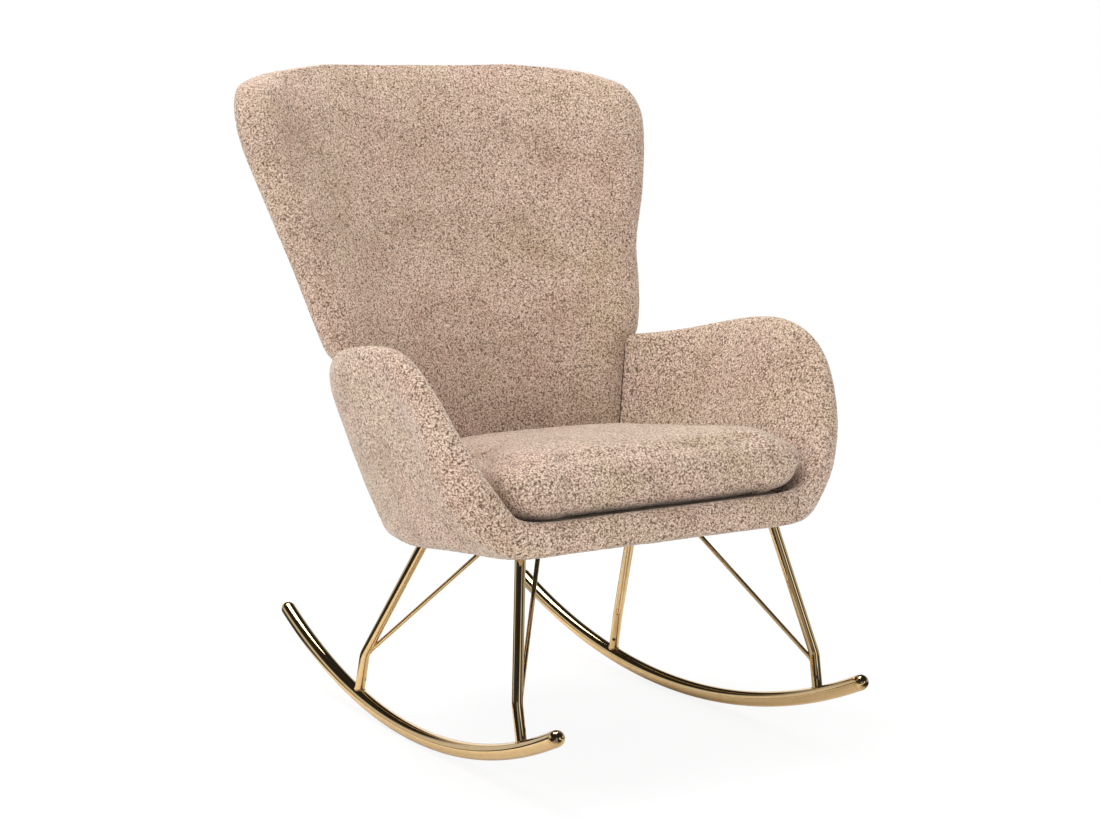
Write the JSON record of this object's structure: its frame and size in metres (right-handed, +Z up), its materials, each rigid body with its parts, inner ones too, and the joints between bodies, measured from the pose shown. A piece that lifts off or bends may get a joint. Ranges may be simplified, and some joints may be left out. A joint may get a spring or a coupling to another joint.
{
  "type": "rocking chair",
  "caption": "Wing-backed rocking armchair with a padded tub, a loose seat cushion and a base of bent tubes on curved rockers.",
  "frame": {"origin": "on the floor, under the lowest point of the two rockers, midway between them", "axes": "+Z up, the sitter faces -Y, +X towards the sitter's left hand"},
  "size_m": [0.76, 0.906, 1.0208],
  "materials": {
    "gold_plated_steel": "polished gold plating",
    "frame_steel": "black powder coat",
    "zinc_steel": "zinc plated",
    "plywood": "raw",
    "dust_cover_cloth": "non-woven",
    "webbing": "woven",
    "foam": "open cell",
    "curly_fabric": "curly pile",
    "zip_tape": "matt"
  },
  "bodies": {
    "chair": {"rocker_left": "gold_plated_steel", "rocker_right": "gold_plated_steel", "rocker_caps": "gold_plated_steel", "leg_front_left": "gold_plated_steel", "leg_front_right": "gold_plated_steel", "leg_rear_left": "gold_plated_steel", "leg_rear_right": "gold_plated_steel", "brace_front_left": "gold_plated_steel", "brace_front_right": "gold_plated_steel", "brace_rear_left": "gold_plated_steel", "brace_rear_right": "gold_plated_steel", "underframe_front_bar": "frame_steel", "underframe_rear_bar": "frame_steel", "underframe_side_bar_left": "frame_steel", "underframe_side_bar_right": "frame_steel", "dust_cover": "dust_cover_cloth", "seat_board": "plywood", "frame_bolts": "zinc_steel", "frame_washers": "zinc_steel", "tee_nuts": "zinc_steel", "back_bracket_left": "zinc_steel", "back_bracket_right": "zinc_steel", "webbing_lengthwise": "webbing", "webbing_crosswise": "webbing", "deck_foam": "foam", "tub_shell": "plywood", "back_shell": "plywood", "tub_upholstery": "curly_fabric", "back_upholstery": "curly_fabric"},
    "cushion": {"seat_cushion_cover": "curly_fabric", "seat_cushion_foam": "foam", "seat_cushion_zip": "zip_tape"}
  },
  "joints": [
    {"name": "seat_cushion_lift", "type": "slide", "parent": "chair", "child": "cushion", "axis": [0, 0, 1], "range_m": [0, 0.2]}
  ]
}
